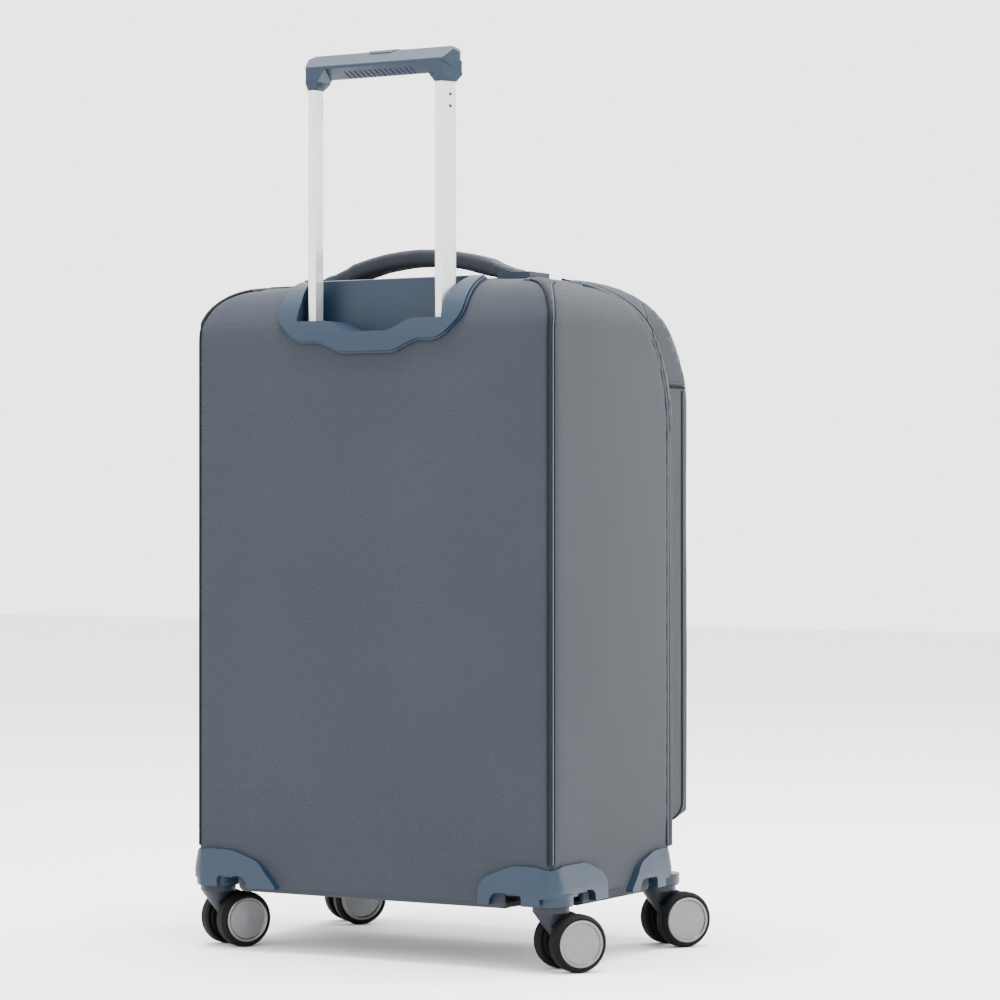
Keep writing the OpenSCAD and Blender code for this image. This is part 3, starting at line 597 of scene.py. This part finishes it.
def away(c):
    """The way out from the pocket at point c on the yoke seam."""
    return (c[0], 0.0, 0.0) if abs(c[0]) > 0.19 else (0.0, -1.0, 0.3)


beads("yoke_stitches", "door", "thread",
      [(round_pocket(YOKE + k, 0.0003), away) for k in (-0.0035, 0.0035)],
      0.0036, (0.0013, 0.0004, 0.0004))
beads("pocket_teeth", "door", "teeth",
      [(pocket_u(-0.142, 0.0012), lambda c: (c[0], 0, c[2] - 0.35))],
      0.0020, (0.0006, 0.0018, 0.0007))
beads("door_teeth", "case", "teeth",
      [(door_edge(s), lambda c: (0.0, c[1] - 0.051, max(c[2] - 0.533, 0.0))) for s in BOTH],
      0.0024, (0.0007, 0.0019, 0.0008))
beads("handle_stitches", "top_carry", "thread",
      [([(x, 0.045 + k, 0.7272 - (x / 0.118) ** 2 * 0.034 + 0.0006) for x in np.linspace(-0.082, 0.082, 30)],
        lambda c: (0, 0, 1)) for k in (-0.009, 0.009)], 0.0042, (0.0014, 0.0004, 0.0004))

for n in ("inner_board", "floor_board"):
    hard(n, "board", 0.0006)
hard("trolley_cup", "slate", 0.0008)
hard("grip", "slate", 0.0034, 24)
for n in ("release_button", "handle_boots"):
    hard(n, "slate", 0.0005)
hard("tube_feet", "black", 0.001)
for n in ("outer_tubes", "mid_tubes", "inner_tubes"):
    hard(n, "tube", 0.0002)
for n in ("swivel_pins", "bracket_screws", "push_rods"):
    hard(n, "steel", 0.0003)
hard("grip_screws", "rivet", 0)
for n in ("door_slider", "door_pull", "pocket_slider", "pocket_pull"):
    hard(n, "zipper", 0.0004)
for c in CASTERS:
    hard("bracket_" + c, "slate", 0.0010)
    hard("fork_" + c, "navy", 0.0006)
    hard("axle_" + c, "steel", 0.0003)
    for k in "ab":
        hard("wheel_%s_%s" % (c, k), "tyre", 0.0004)
        hard("cap_%s_%s" % (c, k), "cap", 0.0003)


# ---------------------------------------------------------------- stage
def floor():
    bm = bmesh.new()
    bmesh.ops.create_grid(bm, x_segments=4, y_segments=4, size=9)
    mesh = bpy.data.meshes.new("floor")
    bm.to_mesh(mesh)
    bm.free()
    o = bpy.data.objects.new("floor", mesh)
    bpy.context.scene.collection.objects.link(o)
    m = Nodes("floor_paper")
    m.tint((0.80, 0.80, 0.80, 1), m.span(m.noise(3, 2), 0.995, 1.0))
    m.set(Roughness=0.8, Specular_IOR_Level=0.2)
    o.data.materials.append(m.mat)


def area(name, at, aim, size, power):
    light = bpy.data.lights.new(name, "AREA")
    light.shape = "RECTANGLE"
    light.size, light.size_y = size
    light.energy = power
    o = bpy.data.objects.new(name, light)
    bpy.context.scene.collection.objects.link(o)
    o.location = at
    o.rotation_euler = (Vector(aim) - Vector(at)).to_track_quat("-Z", "Y").to_euler()


floor()
area("key", (-2.6, 1.4, 2.4), (0, 0, 0.4), (1.8, 1.8), 60)
area("fill", (1.6, 3.0, 1.8), (0, 0, 0.4), (2.0, 2.0), 12)
area("rim", (-1.5, -2.2, 2.8), (0, 0, 0.6), (1.2, 1.2), 110)
area("overhead", (0, 0.2, 3.2), (0, 0, 0), (1.6, 1.6), 260)
world = bpy.data.worlds.new("studio")
world.use_nodes = True
world.node_tree.nodes["Background"].inputs["Color"].default_value = (1, 1, 1, 1)
world.node_tree.nodes["Background"].inputs["Strength"].default_value = 3.3
bpy.context.scene.world = world

camera = bpy.data.cameras.new("camera")
camera.sensor_width = 36
camera.lens = 121.96
camera.shift_x = -0.001
camera.shift_y = 0.007
cam = bpy.data.objects.new("camera", camera)
bpy.context.scene.collection.objects.link(cam)
cam.location = (-1.8405, 3.0604, 0.4535)
forward = Vector((0.5018, -0.8650, 0.0019)).normalized()
cam.rotation_euler = forward.to_track_quat("-Z", "Y").to_euler()
bpy.context.scene.camera = cam
